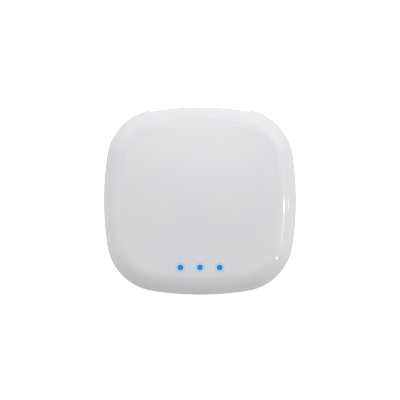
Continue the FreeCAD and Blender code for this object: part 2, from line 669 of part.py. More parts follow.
def network_socket_housing():
    """The black insert: a plug cavity with a latch channel below it and a groove for each contact."""
    gap = NET_SHEET + 0.02
    x0, x1 = NET_X - NET_WIDTH / 2 + gap, NET_X + NET_WIDTH / 2 - gap
    whole = box(x0, x1, NET_BACK_Y + gap, HOUSING_FRONT_Y, NET_BOTTOM_Z + gap, NET_TOP_Z - gap)
    out_y = HOUSING_FRONT_Y + 1
    tools = [
        box(NET_X - CAVITY_HALF, NET_X + CAVITY_HALF, CAVITY_BACK_Y, out_y, CAVITY_Z0, CAVITY_Z1),
        box(NET_X - LATCH_HALF, NET_X + LATCH_HALF, CAVITY_BACK_Y + 1.5, out_y, LATCH_Z0, CAVITY_Z0),
        box(NET_X - CATCH_HALF, NET_X + CATCH_HALF, HOUSING_FRONT_Y - 1.6, out_y, CATCH_Z0, LATCH_Z0),
    ]
    for x in wire_xs():
        tools.append(box(x - 0.33, x + 0.33, CAVITY_BACK_Y - 1, GROOVE_FRONT_Y, CAVITY_Z1, CAVITY_Z1 + 0.9))
    return cut_by(whole, tools + light_windows())


def network_contacts():
    """Eight sprung wires: each runs forward in its groove and folds back down into the plug's path."""
    wire, thickness = 0.36, 0.3
    top_z = CAVITY_Z1 + 0.7
    root_y, bend_y, tip_y = CAVITY_BACK_Y - 0.9, GROOVE_FRONT_Y - 0.5, CAVITY_BACK_Y + 3.1
    tip_z = CAVITY_Z1 - 1.9
    path = [
        (root_y, top_z),
        (bend_y, top_z),
        (bend_y + 0.35, top_z - 0.25),
        (bend_y, top_z - 0.55),
        (tip_y, tip_z),
        (tip_y, tip_z + thickness),
        (bend_y - 0.35, top_z - thickness),
        (root_y, top_z - thickness),
    ]
    return [extruded_x(path, x - wire / 2, wire) for x in wire_xs()]


# ---------------------------------------------------------------- power socket
SHELL_SHEET = 0.3
TONGUE_WIDTH, TONGUE_THICKNESS = 6.7, 0.7
TONGUE_TIP_Y = 40.6
TONGUE_PLUG_DEPTH = 1.6
POWER_CONTACTS, POWER_CONTACT_PITCH = 12, 0.5


def power_bore(y0, grow, length):
    """The space inside the shell, made wider all round by grow."""
    width = POWER_WIDTH + 2 * (grow - SHELL_SHEET)
    height = POWER_HEIGHT + 2 * (grow - SHELL_SHEET)
    return obround_y(POWER_X, POWER_Z, y0, width, height, length)


def power_socket_shell():
    """The drawn steel sleeve of the socket, with four solder feet."""
    length = POWER_FRONT_Y - POWER_BACK_Y
    pieces = [power_bore(POWER_BACK_Y, SHELL_SHEET, length)]
    for x in (POWER_X - 4.3, POWER_X + 4.3):
        for y in (POWER_BACK_Y + 1.05, POWER_BACK_Y + 3.95):
            pieces.append(block(x, y, BOARD_Z, 1.6, 1.1, 0.7))
    return fused(pieces).cut(power_bore(POWER_BACK_Y - 1, 0, length + 2))


def power_socket_tongue():
    """The insulator: a plug at the back of the sleeve and the thin tongue that carries the contacts."""
    plug = power_bore(POWER_BACK_Y, -0.02, TONGUE_PLUG_DEPTH)
    tongue_y = (POWER_BACK_Y + TONGUE_TIP_Y) / 2
    tongue_length = TONGUE_TIP_Y - POWER_BACK_Y
    tongue_bottom = POWER_Z - TONGUE_THICKNESS / 2
    tongue = block(POWER_X, tongue_y, tongue_bottom, TONGUE_WIDTH, tongue_length, TONGUE_THICKNESS)
    tip_edges = [e for e in tongue.Edges if close(e.BoundBox.YMin, TONGUE_TIP_Y) and e.BoundBox.XLength > 1]
    return fused([plug, tongue.makeChamfer(0.2, tip_edges)])


def power_socket_contacts():
    """Two rows of thin gold strips, on the tongue's upper and lower faces."""
    strip, thickness = 0.26, 0.05
    y0, y1 = POWER_BACK_Y + TONGUE_PLUG_DEPTH + 0.1, TONGUE_TIP_Y - 0.6
    half = TONGUE_THICKNESS / 2
    strips = []
    for i in range(POWER_CONTACTS):
        x = POWER_X + (i - (POWER_CONTACTS - 1) / 2) * POWER_CONTACT_PITCH
        for z0 in (POWER_Z + half, POWER_Z - half - thickness):
            strips.append(box(x - strip / 2, x + strip / 2, y0, y1, z0, z0 + thickness))
    return strips


# ---------------------------------------------------------------- chips and modules
SHIELD_X, SHIELD_Y = -2.0, -8.0
SHIELD_WIDTH, SHIELD_DEPTH, SHIELD_HEIGHT, SHIELD_SHEET = 27.0, 20.0, 2.4, 0.2
LID_SKIRT, LID_HOLE_PITCH, LID_HOLE_RADIUS = 1.7, 2.0, 0.5
PROCESSOR_X, MEMORY_X = SHIELD_X - 6.0, SHIELD_X + 7.5
PROCESSOR_SIZE, PROCESSOR_THICKNESS = 12.0, 1.2
TRANSFORMER = (-12.0, 15.6)
TRANSFORMER_DEPTH, FLASH_SIZE, REGULATOR_DEPTH = 7.4, 5.2, 1.7
PHY = (3.0, 13.5)
FLASH = (17.5, -4.0)
WLAN_MODULE = (-30.0, -2.5)
MESH_MODULE = (30.0, -2.5)
REGULATORS = ((21.5, 15.0), (8.0, 22.5))
INDUCTORS = ((26.5, 17.5), (14.5, 20.0))
CAPACITORS = ((-29.0, 11.5), (13.5, 28.0), (20.4, 27.4))
CAN_RADIUS, CAN_HEIGHT, CAN_BASE = 2.9, 5.4, 6.2
CRYSTALS = ((-8.0, 5.5), (10.5, 13.5))
ANTENNA_X, ANTENNA_Y = 21.6, -30.0


def processor_chip():
    return block(PROCESSOR_X, SHIELD_Y, BOARD_Z, PROCESSOR_SIZE, PROCESSOR_SIZE, PROCESSOR_THICKNESS)


def memory_chip():
    return block(MEMORY_X, SHIELD_Y, BOARD_Z, 8.0, 12.5, 1.0)


def thermal_pad():
    z0 = BOARD_Z + PROCESSOR_THICKNESS
    side = PROCESSOR_SIZE - 1.0
    return block(PROCESSOR_X, SHIELD_Y, z0, side, side, BOARD_Z + SHIELD_HEIGHT - z0)


def shield_block(z0, height, grow):
    """A block over the shield's plan, made wider all round by grow."""
    return block(SHIELD_X, SHIELD_Y, z0, SHIELD_WIDTH + 2 * grow, SHIELD_DEPTH + 2 * grow, height)


def shield_frame():
    return shield_block(BOARD_Z, SHIELD_HEIGHT, 0).cut(shield_block(0, BODY_HEIGHT, -SHIELD_SHEET))


def shield_lid():
    """The clip-on lid, with a field of small vent holes over the memory chip."""
    top_z = BOARD_Z + SHIELD_HEIGHT + SHIELD_SHEET
    fit = 0.02
    outer = shield_block(top_z - LID_SKIRT, LID_SKIRT, SHIELD_SHEET + fit)
    lid = outer.cut(shield_block(0, BOARD_Z + SHIELD_HEIGHT, fit))
    holes = []
    for i in range(4):
        for j in range(7):
            x = MEMORY_X + (i - 1.5) * LID_HOLE_PITCH
            y = SHIELD_Y + (j - 3) * LID_HOLE_PITCH
            holes.append(disc(x, y, BOARD_Z, LID_HOLE_RADIUS, SHIELD_HEIGHT + 1))
    return cut_by(lid, holes)


MODULE_BOARD_THICKNESS = 0.8
MODULE_SHIELD_HEIGHT = 1.8
MODULE_PAD_PITCH = 1.6
MODULE_PAD_RADIUS = 0.4
MODULE_END_MARGIN = 3.0  # from each end of the module's board to its first pad


def radio_module(place, size_x, size_y):
    """(board, shield) of a small radio module that is soldered flat onto the main board."""
    x, y = place
    board = block(x, y, BOARD_Z, size_x, size_y, MODULE_BOARD_THICKNESS)
    pads = []
    count = int((size_y - 2 * MODULE_END_MARGIN) / MODULE_PAD_PITCH)
    for i in range(count):
        pad_y = y + (i - (count - 1) / 2) * MODULE_PAD_PITCH
        pads += [disc(x + sx * size_x / 2, pad_y, 0, MODULE_PAD_RADIUS, 30) for sx in (-1, 1)]
    board = cut_by(board, pads)
    shield_z = BOARD_Z + MODULE_BOARD_THICKNESS
    shield = rounded_block(x, y + 1.0, shield_z, size_x - 2.6, size_y - 5.5, MODULE_SHIELD_HEIGHT, 0.5)
    top = [e for e in shield.Edges if abs(e.BoundBox.ZMin - (shield_z + MODULE_SHIELD_HEIGHT)) < 1e-4]
    return board, shield.makeFillet(0.25, top)


ANTENNA_SHEET = 0.3
ANTENNA_LEG_WIDTH = 1.0
ANTENNA_LEG_SPACING = 3.0
ANTENNA_FOOT_WIDTH = 1.2  # how far each foot spreads over its pad
ANTENNA_FOOT_THICKNESS = 0.25
ANTENNA_OVERLAP = 0.1  # how far the legs reach into the arm


def antenna(sx):
    """A stamped inverted-F antenna that stands on edge on two legs."""
    top, bottom = BOARD_Z + 6.5, BOARD_Z + 3.6
    x0 = sx * ANTENNA_X - ANTENNA_SHEET / 2
    x1 = x0 + ANTENNA_SHEET
    y0, y1 = ANTENNA_Y - 6.0, ANTENNA_Y + 5.5
    pieces = [
        box(x0, x1, y0, y1, bottom, top),
        box(x0, x1, y0, y0 + 1.2, BOARD_Z + 1.2, bottom + ANTENNA_OVERLAP),
    ]
    for y in (y1 - ANTENNA_LEG_WIDTH, y1 - ANTENNA_LEG_WIDTH - ANTENNA_LEG_SPACING):
        pieces.append(box(x0, x1, y, y + ANTENNA_LEG_WIDTH, BOARD_Z, bottom + ANTENNA_OVERLAP))
        spread = ANTENNA_FOOT_WIDTH / 2
        foot_top = BOARD_Z + ANTENNA_FOOT_THICKNESS
        pieces.append(box(x0 - spread, x1 + spread, y - 0.2, y + 1.2, BOARD_Z, foot_top))
    return fused(pieces)


def chip_body(place, size_x, size_y, height, lift=0.1):
    x, y = place
    body = block(x, y, BOARD_Z + lift, size_x, size_y, height - lift)
    top = [e for e in body.Edges if abs(e.BoundBox.ZMin - (BOARD_Z + height)) < 1e-4]
    return body.makeChamfer(min(0.3, height / 4), top)


def gull_leads(place, body_depth, count, pitch, width, rise):
    """Two rows of bent leads, on the front and back of a chip body; rise is the height they leave it at."""
    x, y = place
    leads = []
    for side in (-1, 1):
        for i in range(count):
            at = (i - (count - 1) / 2) * pitch
            near = body_depth / 2
            profile = [
                (near, rise + 0.1),
                (near + 0.45, rise + 0.1),
                (near + 0.75, 0.15),
                (near + 1.3, 0.15),
                (near + 1.3, 0),
                (near + 0.65, 0),
                (near + 0.35, rise - 0.1),
                (near, rise - 0.1),
            ]
            points = [(y + side * r, BOARD_Z + h) for r, h in profile]
            leads.append(extruded_x(points, x + at - width / 2, width))
    return leads


def component_leads():
    leads = gull_leads(TRANSFORMER, TRANSFORMER_DEPTH, 8, 1.27, 0.45, 1.4)
    leads += gull_leads(FLASH, FLASH_SIZE, 4, 1.27, 0.42, 0.9)
    for place in REGULATORS:
        leads += gull_leads(place, REGULATOR_DEPTH, 3, 0.95, 0.35, 0.5)
    return leads


def capacitor_cans():
    cans = []
    for x, y in CAPACITORS:
        can = disc(x, y, BOARD_Z + 0.9, CAN_RADIUS, CAN_HEIGHT)
        can = can.makeFillet(0.4, edges_at_z(can, BOARD_Z + 0.9 + CAN_HEIGHT))
        bead = Part.makeTorus(CAN_RADIUS + 0.25, 0.4, Vector(x, y, BOARD_Z + 1.9), Z_AXIS)
        cans.append(can.cut(bead))
    return cans


def capacitor_bases():
    bases = []
    for x, y in CAPACITORS:
        base = block(x, y, BOARD_Z, CAN_BASE, CAN_BASE, 0.9)
        front = [e for e in base.Edges if e.BoundBox.ZLength > 0.5 and e.CenterOfMass.y > y]
        bases.append(base.makeChamfer(1.2, front))
    return bases


def power_inductors():
    coils = []
    for x, y in INDUCTORS:
        coils.append(rounded_block(x, y, BOARD_Z, 4.6, 4.6, 2.4, 0.8))
    return coils


def crystal_cans():
    return [rounded_block(x, y, BOARD_Z, 3.2, 2.5, 0.8, 0.5) for x, y in CRYSTALS]


def row(x, y, dx, dy, count):
    return [(x + i * dx, y + i * dy) for i in range(count)]


def chip_capacitors():
    places = row(-13.5, 4.0, 1.6, 0, 3) + row(14.8, -14.0, 0, 1.6, 4) + row(-1.0, 9.2, 1.6, 0, 6)
    places += row(24.0, 11.5, 1.8, 0, 4) + row(-25.5, 16.5, 1.6, 0, 4) + row(8.0, 26.5, 0, 1.6, 4)
    places += row(-29.5, -14.0, 1.8, 0, 3) + row(27.0, -14.0, 1.8, 0, 3) + row(-6.5, -22.5, 1.8, 0, 8)
    return [block(x, y, BOARD_Z, 0.8, 1.2, 0.6) for x, y in places]


def chip_resistors():
    places = row(8.6, 5.0, 1.6, 0, 5) + row(-1.0, 18.2, 1.6, 0, 6) + row(19.6, -14.0, 0, 1.6, 3)
    places += row(-22.0, -4.0, 0, 1.8, 5) + row(22.6, -2.5, 0, 1.8, 4) + row(-12.8, -27.0, 3.2, 0, 9)
    return [block(x, y, BOARD_Z, 0.8, 1.2, 0.35) for x, y in places]


def debug_header():
    """(plastic base, pins) of the four-pin service header."""
    ys = header_ys()
    base = box(HEADER_X - 1.0, HEADER_X + 1.0, ys[0] - 1.0, ys[-1] + 1.0, BOARD_Z, BOARD_Z + 2.0)
    base = cut_by(base, [block(HEADER_X, y, 0, 0.52, 0.52, 30) for y in ys])
    pins = [block(HEADER_X, y, BOARD_BOTTOM_Z - 1.0, 0.5, 0.5, BOARD_THICKNESS + 6.0) for y in ys]
    return base, pins


# ---------------------------------------------------------------- output
def save(node, shape):
    """Writes one node, which may be a list of separate solids."""
    if isinstance(shape, list):
        shape = Part.makeCompound(shape)
    assert shape.isValid(), node
    assert all(s.Volume > 0 for s in shape.Solids), node
    shape.exportStep(f"parts/{node}.step")
    print(f"{node:26s} {len(shape.Solids):3d} solids  {shape.Volume:10.2f} mm3")


def main():
    os.makedirs("parts", exist_ok=True)
    save("top_cover", top_cover())
    save("bottom_case", bottom_case())
    for sx, sy in CORNER_SIGNS:
        end = "rear" if sy > 0 else "front"
        side = "right" if sx > 0 else "left"
        save(f"foot_{end}_{side}", foot(sx, sy))
    save("rating_label", rating_label())
    save("case_screws", case_screws())
    save("board_screws", board_screws())
    save("main_board", main_board())

    save("status_leds", status_leds())
    save("light_guide", light_guide())
    save("light_baffle", light_baffle())

    save("reset_button", reset_button())
    save("reset_switch_body", reset_switch_body())
    save("reset_switch_plunger", reset_switch_plunger())
    save("reset_switch_snap_disc", reset_switch_snap_disc())
    save("reset_switch_bracket", reset_switch_bracket())

    save("network_socket_shield", network_socket_shield())
    save("network_socket_housing", network_socket_housing())
    save("network_contacts", network_contacts())
    save("network_light_windows", light_windows())
    save("power_socket_shell", power_socket_shell())
    save("power_socket_tongue", power_socket_tongue())
    save("power_socket_contacts", power_socket_contacts())

    save("processor_chip", processor_chip())
    save("memory_chip", memory_chip())
    save("processor_thermal_pad", thermal_pad())
    save("processor_shield_frame", shield_frame())
    save("processor_shield_lid", shield_lid())
    for name, place, size in (("wlan", WLAN_MODULE, (12.0, 17.0)), ("mesh", MESH_MODULE, (12.4, 16.0))):
        board, shield = radio_module(place, *size)
        save(f"{name}_module_board", board)
        save(f"{name}_module_shield", shield)
    save("wlan_antenna", antenna(-1))
    save("mesh_antenna", antenna(1))

    save("network_transformer", chip_body(TRANSFORMER, 12.7, TRANSFORMER_DEPTH, 5.6, 0.3))
    save("network_chip", chip_body(PHY, 5.0, 5.0, 0.9, 0.0))
    save("flash_chip", chip_body(FLASH, FLASH_SIZE, FLASH_SIZE, 1.9))
    save("regulator_chips", [chip_body(p, 3.0, REGULATOR_DEPTH, 1.1) for p in REGULATORS])
    save("component_leads", component_leads())
    save("capacitor_cans", capacitor_cans())
    save("capacitor_bases", capacitor_bases())
    save("power_inductors", power_inductors())
    save("crystal_cans", crystal_cans())
    save("chip_capacitors", chip_capacitors())
    save("chip_resistors", chip_resistors())
    base, pins = debug_header()
    save("service_header_base", base)
    save("service_header_pins", pins)


main()
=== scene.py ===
import math

import bmesh
import bpy
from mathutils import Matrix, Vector


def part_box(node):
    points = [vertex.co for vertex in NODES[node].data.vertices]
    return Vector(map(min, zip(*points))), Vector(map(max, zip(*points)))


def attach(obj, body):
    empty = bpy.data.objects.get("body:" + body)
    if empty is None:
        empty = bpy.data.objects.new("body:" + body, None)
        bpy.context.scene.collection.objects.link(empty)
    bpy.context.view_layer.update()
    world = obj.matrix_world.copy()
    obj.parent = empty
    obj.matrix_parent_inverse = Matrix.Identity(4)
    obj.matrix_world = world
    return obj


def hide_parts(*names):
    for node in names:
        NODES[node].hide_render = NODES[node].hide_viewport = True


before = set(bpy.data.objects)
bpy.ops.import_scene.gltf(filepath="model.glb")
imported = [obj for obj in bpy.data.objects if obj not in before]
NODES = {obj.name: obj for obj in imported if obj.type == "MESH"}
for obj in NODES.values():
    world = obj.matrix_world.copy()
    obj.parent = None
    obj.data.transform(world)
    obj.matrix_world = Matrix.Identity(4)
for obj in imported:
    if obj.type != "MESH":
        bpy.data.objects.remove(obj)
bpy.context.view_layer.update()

MM = 0.001

# ---------------------------------------------------------------- sizes of the cover, in metres
HALF_X, HALF_Y = 45.0 * MM, 44.2 * MM
TOP_Z, SEAM_Z = 25.0 * MM, 6.0 * MM
SIDE_RADIUS, CORNER_RADIUS = 144.0 * MM, 25.2 * MM
DOME_RADIUS, EDGE_RADIUS, WALL = 500.0 * MM, 10.0 * MM, 2.0 * MM
RIM_SOFTENING = 0.3 * MM
DOME_CENTRE = Vector((0, 0, TOP_Z - DOME_RADIUS))

LED_LOW, LED_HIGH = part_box("status_leds")
LED_HALF = 1.0 * MM  # half an LED's length
LIGHT_Y = (LED_LOW.y + LED_HIGH.y) / 2
LIGHT_XS = (LED_LOW.x + LED_HALF, (LED_LOW.x + LED_HIGH.x) / 2, LED_HIGH.x - LED_HALF)
LIGHT_TIP_RADIUS = 1.15 * MM
LIGHT_HOLE_RADIUS = 1.25 * MM

BAY_HALF, BAY_TOP_Z, BAY_FRONT_Y, BAY_CORNER = 24.0 * MM, 17.6 * MM, 36.0 * MM, 2.0 * MM
BOSS_X, BOSS_Y = 28.0 * MM, 27.5 * MM
BOSS_RADIUS, BOSS_BORE = 3.2 * MM, 1.4 * MM
BOSS_LOW_Z, BOSS_BORE_TOP_Z, BOSS_HIGH_Z = 8.5 * MM, 18.5 * MM, 22.2 * MM
WEB_LOW_Z, WEB_HIGH_Z = 16.2 * MM, 22.1 * MM
WEB_SPAN, WEB_THICKNESS = 11.4 * MM, 1.0 * MM
CORNER_SIGNS = [(sx, sy) for sy in (-1, 1) for sx in (-1, 1)]


# ---------------------------------------------------------------- mesh helpers
def new_object(name, mesh):
    made = bpy.data.objects.new(name, mesh)
    bpy.context.scene.collection.objects.link(made)
    return made


def mesh_from(name, points, faces):
    mesh = bpy.data.meshes.new(name)
    mesh.from_pydata([tuple(p) for p in points], [], faces)
    mesh.update()
    return mesh


def lathed(name, profile, centre, steps=64):
    """A closed solid turned about the upright line through centre, from (radius, z) points that run from
    the axis at the bottom, outwards, to the axis at the top."""
    points = [Vector((centre[0], centre[1], profile[0][1]))]
    rings = profile[1:-1]
    for radius, z in rings:
        for i in range(steps):
            turn = 2 * math.pi * i / steps
            x = centre[0] + radius * math.cos(turn)
            y = centre[1] + radius * math.sin(turn)
            points.append(Vector((x, y, z)))
    points.append(Vector((centre[0], centre[1], profile[-1][1])))
    faces = []
    for i in range(steps):
        j = (i + 1) % steps
        faces.append((0, 1 + j, 1 + i))
        for ring in range(len(rings) - 1):
            low, high = 1 + ring * steps, 1 + (ring + 1) * steps
            faces.append((low + i, low + j, high + j, high + i))
        last = 1 + (len(rings) - 1) * steps
        faces.append((last + i, last + j, len(points) - 1))
    return mesh_from(name, points, faces)


def arc(centre, radius, start, end, steps):
    """Points of an arc in a plane, with its angles in degrees."""
    made = []
    for i in range(steps + 1):
        turn = math.radians(start + (end - start) * i / steps)
        made.append((centre[0] + radius * math.cos(turn), centre[1] + radius * math.sin(turn)))
    return made


def extruded_y(name, outline, y0, y1):
    """A solid over a closed outline of (x, z) points that runs anticlockwise seen from the front."""
    count = len(outline)
    points = [(x, y, z) for y in (y0, y1) for x, z in outline]
    faces = [tuple(range(count)), tuple(reversed(range(count, 2 * count)))]
    for i in range(count):
        j = (i + 1) % count
        faces.append((j, i, count + i, count + j))
    return mesh_from(name, points, faces)


def box_mesh(name, low, high):
    mesh = bpy.data.meshes.new(name)
    work = bmesh.new()
    bmesh.ops.create_cube(work, size=1.0)
    for v in work.verts:
        v.co = Vector(low[k] + (v.co[k] + 0.5) * (high[k] - low[k]) for k in range(3))
    work.to_mesh(mesh)
    work.free()
    return mesh


def combined(target, tools, operation):
    """The target's mesh after joining or cutting it with each tool mesh in turn."""
    for tool in tools:
        other = new_object("tool", tool)
        step = target.modifiers.new("combine", "BOOLEAN")
        step.operation = operation
        step.solver = "EXACT"
        step.object = other
        done = bpy.data.meshes.new_from_object(target.evaluated_get(bpy.context.evaluated_depsgraph_get()))
        target.modifiers.clear()
        target.data = done
        bpy.data.objects.remove(other)
    return target


# ---------------------------------------------------------------- the cover's surfaces
def corner_centre():
    """The centre of the corner arc that is tangent to both bowed sides, in the +X +Y quarter."""
    side = Vector((HALF_X - SIDE_RADIUS, 0))
    end = Vector((0, HALF_Y - SIDE_RADIUS))
    half_span = (end - side) / 2
    rise = math.sqrt((SIDE_RADIUS - CORNER_RADIUS) ** 2 - half_span.length_squared)
    return side + half_span + Vector((-half_span.y, half_span.x)).normalized() * rise


CORNER = corner_centre()
SIDE_TURN = math.atan2(CORNER.y, CORNER.x + SIDE_RADIUS - HALF_X)
END_TURN = math.atan2(CORNER.y + SIDE_RADIUS - HALF_Y, CORNER.x)
CORNER_TURN = (SIDE_TURN + END_TURN) / 2


def plan_arc(steep):
    """(centre, radius) of the arc whose outward normal has that angle, in the +X +Y quarter."""
    if steep < SIDE_TURN:
        return Vector((HALF_X - SIDE_RADIUS, 0)), SIDE_RADIUS
    if steep > END_TURN:
        return Vector((0, HALF_Y - SIDE_RADIUS)), SIDE_RADIUS
    return CORNER, CORNER_RADIUS


def plan_point(turn, inset):
    """The point of the outline, moved inwards by inset, whose outward normal has that angle."""
    c, s = math.cos(turn), math.sin(turn)
    centre, radius = plan_arc(math.atan2(abs(s), abs(c)))
    x = math.copysign(1, c) * centre.x + (radius - inset) * c
    y = math.copysign(1, s) * centre.y + (radius - inset) * s
    return Vector((x, y, 0))


def plan_turn(x, y):
    """The angle of the outline's outward normal nearest to a point, and how far inside the outline it is."""
    ax, ay = abs(x), abs(y)
    steep = math.atan2(ay - CORNER.y, ax - CORNER.x)
    side_turn = math.atan2(ay, ax + SIDE_RADIUS - HALF_X)
    end_turn = math.atan2(ay + SIDE_RADIUS - HALF_Y, ax)
    if side_turn < SIDE_TURN:
        steep = side_turn
    elif end_turn > END_TURN:
        steep = end_turn
    centre, radius = plan_arc(steep)
    inset = radius - (Vector((ax, ay)) - centre).length
    return math.atan2(math.copysign(math.sin(steep), y), math.copysign(math.cos(steep), x)), inset


def edge_ball(turn):
    """The ball that rolls along the rounded edge.

    Gives its centre, and the directions in which it touches the side wall and the dome.
    """
    centre = plan_point(turn, EDGE_RADIUS)
    reach = DOME_RADIUS - EDGE_RADIUS
    centre.z = DOME_CENTRE.z + math.sqrt(reach**2 - centre.x**2 - centre.y**2)
    outward = Vector((math.cos(turn), math.sin(turn), 0))
    return centre, outward, (centre - DOME_CENTRE).normalized()


def surface_normal(point):
    """The exact outward normal of the cover's outer surface at a point on it."""
    turn, inset = plan_turn(point.x, point.y)
    centre, outward, up = edge_ball(turn)
    if point.z < centre.z:
        return outward
    from_ball = (point - centre).normalized()
    if inset > EDGE_RADIUS or from_ball.dot(outward) < up.dot(outward):
        return (point - DOME_CENTRE).normalized()
    return from_ball


CORNER_STEPS, SIDE_STEPS, EDGE_STEPS, WALL_STEPS = 20, 44, 24, 6
SIDE_COUNT = 2 * CORNER_STEPS + SIDE_STEPS
GRID = SIDE_COUNT // 2


def side_turns(side):
    """The normal's angles along one side, from the middle of one corner to the middle of the next."""
    if side % 2 == 0:
        knots = [-CORNER_TURN, -SIDE_TURN, SIDE_TURN, CORNER_TURN]
    else:
        quarter = math.pi / 2
        knots = [CORNER_TURN - quarter, END_TURN - quarter, quarter - END_TURN, quarter - CORNER_TURN]
    turns = []
    for start, end, steps in zip(knots, knots[1:], (CORNER_STEPS, SIDE_STEPS, CORNER_STEPS)):
        turns += [start + (end - start) * i / steps for i in range(steps)]
    return [t + side * math.pi / 2 for t in turns + [knots[-1]]]


TURNS = [side_turns(side) for side in range(4)]


def turn_along(side, share):
    """The normal's angle at a share of the way along one side."""
    place = share * SIDE_COUNT
    i = min(int(place), SIDE_COUNT - 1)
    return TURNS[side][i] + (TURNS[side][i + 1] - TURNS[side][i]) * (place - i)


def dome_point(turn, share, skin):
    """A point on the dome, at a share of the way from its middle to the rounded edge."""
    centre, _, up = edge_ball(turn)
    rim = centre + up * (EDGE_RADIUS - skin)
    x, y = rim.x * share, rim.y * share
    return Vector((x, y, DOME_CENTRE.z + math.sqrt((DOME_RADIUS - skin) ** 2 - x * x - y * y)))


def wall_column(turn, skin):
    """Points from the dome's rim, round the edge and down the side, to the seam; skin is the depth below
    the outer surface."""
    centre, outward, up = edge_ball(turn)
    made = []
    for i in range(1, EDGE_STEPS + 1):
        made.append(centre + up.slerp(outward, i / EDGE_STEPS) * (EDGE_RADIUS - skin))
    foot_z = SEAM_Z + (RIM_SOFTENING if skin == 0 else 0)
    for i in range(1, WALL_STEPS + 1):
        point = made[EDGE_STEPS - 1].copy()
        point.z += (foot_z - point.z) * i / WALL_STEPS
        made.append(point)
    if skin == 0:
        for radius, z in arc((RIM_SOFTENING, foot_z), RIM_SOFTENING, 180, 270, 3)[1:]:
            low = plan_point(turn, radius)
            low.z = z
            made.append(low)
    return made


def ring_index(i, j):
    """(ring, place round it) of a grid point in the square net of rings that covers the dome."""
    ring = max(abs(i), abs(j))
    if i == ring and j < ring:
        return ring, j + ring
    if j == ring and i > -ring:
        return ring, 3 * ring - i
    if i == -ring and j > -ring:
        return ring, 5 * ring - j
    return ring, (7 * ring + i) % max(8 * ring, 1)


def skin_surface(skin):
    """(points, faces, the indices of the lowest row) of one skin, which is the outer surface at skin 0."""
    points = [dome_point(0, 0, skin)]
    start = {0: 0}
    for ring in range(1, GRID + 1):
        start[ring] = len(points)
        for m in range(8 * ring):
            side, along = divmod(m, 2 * ring)
            points.append(dome_point(turn_along(side, along / (2 * ring)), ring / GRID, skin))
    faces = []
    for i in range(-GRID, GRID):
        for j in range(-GRID, GRID):
            corners = [ring_index(a, b) for a, b in ((i, j), (i + 1, j), (i + 1, j + 1), (i, j + 1))]
            faces.append(tuple(start[ring] + m for ring, m in corners))
    around = 8 * GRID
    row = [start[GRID] + m for m in range(around)]
    columns = [wall_column(turn_along(*side_and_share(m)), skin) for m in range(around)]
    for level in range(len(columns[0])):
        below = [len(points) + m for m in range(around)]
        points += [column[level] for column in columns]
        for m in range(around):
            n = (m + 1) % around
            faces.append((row[m], below[m], below[n], row[n]))
        row = below
    return points, faces, row


def side_and_share(m):
    """Which side the outermost ring's point m is on, and its share of the way along that side."""
    side, along = divmod(m, 2 * GRID)
    return side, along / (2 * GRID)


def cover_body():
    """The closed shell: both skins, joined along the seam."""
    points, faces, outer_row = skin_surface(0)
    inner_points, inner_faces, inner_row = skin_surface(WALL)
    shift = len(points)
    points += inner_points
    faces += [tuple(shift + k for k in reversed(face)) for face in inner_faces]
    for m in range(len(outer_row)):
        n = (m + 1) % len(outer_row)
        faces.append((outer_row[m], shift + inner_row[m], shift + inner_row[n], outer_row[n]))
    return mesh_from("cover_shell", points, faces)


def cover_bosses():
    """The four screw bosses with their cross webs, whose tops end inside the cover's thickness."""
    made = []
    for sx, sy in CORNER_SIGNS:
        x, y = sx * BOSS_X, sy * BOSS_Y
        half, thin = WEB_SPAN / 2, WEB_THICKNESS / 2
        profile = [(0, BOSS_BORE_TOP_Z), (BOSS_BORE, BOSS_BORE_TOP_Z), (BOSS_BORE, BOSS_LOW_Z)]
        profile += [(BOSS_RADIUS, BOSS_LOW_Z), (BOSS_RADIUS, BOSS_HIGH_Z), (0, BOSS_HIGH_Z)]
        made.append(lathed("boss", profile, (x, y), 48))
        for wx, wy in ((half, thin), (thin, half)):
            low = (x - wx, y - wy, WEB_LOW_Z)
            high = (x + wx, y + wy, WEB_HIGH_Z)
            made.append(box_mesh("web", low, high))
    return made


def cover_cutters():
    """The notch over the ports, and a hole with a softened rim for each light."""
    corner = BAY_HALF - BAY_CORNER
    top = BAY_TOP_Z - BAY_CORNER
    outline = [(-BAY_HALF, 0), (BAY_HALF, 0)]
    outline += arc((corner, top), BAY_CORNER, 0, 90, 8) + arc((-corner, top), BAY_CORNER, 90, 180, 8)
    made = [extruded_y("bay", outline, BAY_FRONT_Y, 2 * BAY_FRONT_Y)]
    soften = 0.12 * MM
    for x in LIGHT_XS:
        face_z = DOME_CENTRE.z + math.sqrt(DOME_RADIUS**2 - x**2 - LIGHT_Y**2)
        profile = [(0, BOSS_LOW_Z), (LIGHT_HOLE_RADIUS, BOSS_LOW_Z), (LIGHT_HOLE_RADIUS, face_z - soften)]
        profile += [(LIGHT_HOLE_RADIUS + 2 * soften, face_z + soften), (0, face_z + soften)]
        made.append(lathed("light_hole", profile, (x, LIGHT_Y), 64))
    return made


def set_exact_normals(mesh):
    """Gives the cover's outer surface its exact normals, so that its reflections run true."""
    mesh.polygons.foreach_set("use_smooth", [True] * len(mesh.polygons))
    mesh.set_sharp_from_angle(angle=math.radians(25))
    mesh.update()
    exact = {}
    normals = [Vector((0, 0, 0))] * len(mesh.loops)
    for face in mesh.polygons:
        for k in face.loop_indices:
            v = mesh.loops[k].vertex_index
            if v not in exact:
                exact[v] = surface_normal(mesh.vertices[v].co)
            point = mesh.vertices[v].co
            outside = point.z > SEAM_Z + RIM_SOFTENING * 0.9 and on_surface(point)
            if outside and face.normal.dot(exact[v]) > 0.93:
                normals[k] = exact[v]
    mesh.normals_split_custom_set(normals)


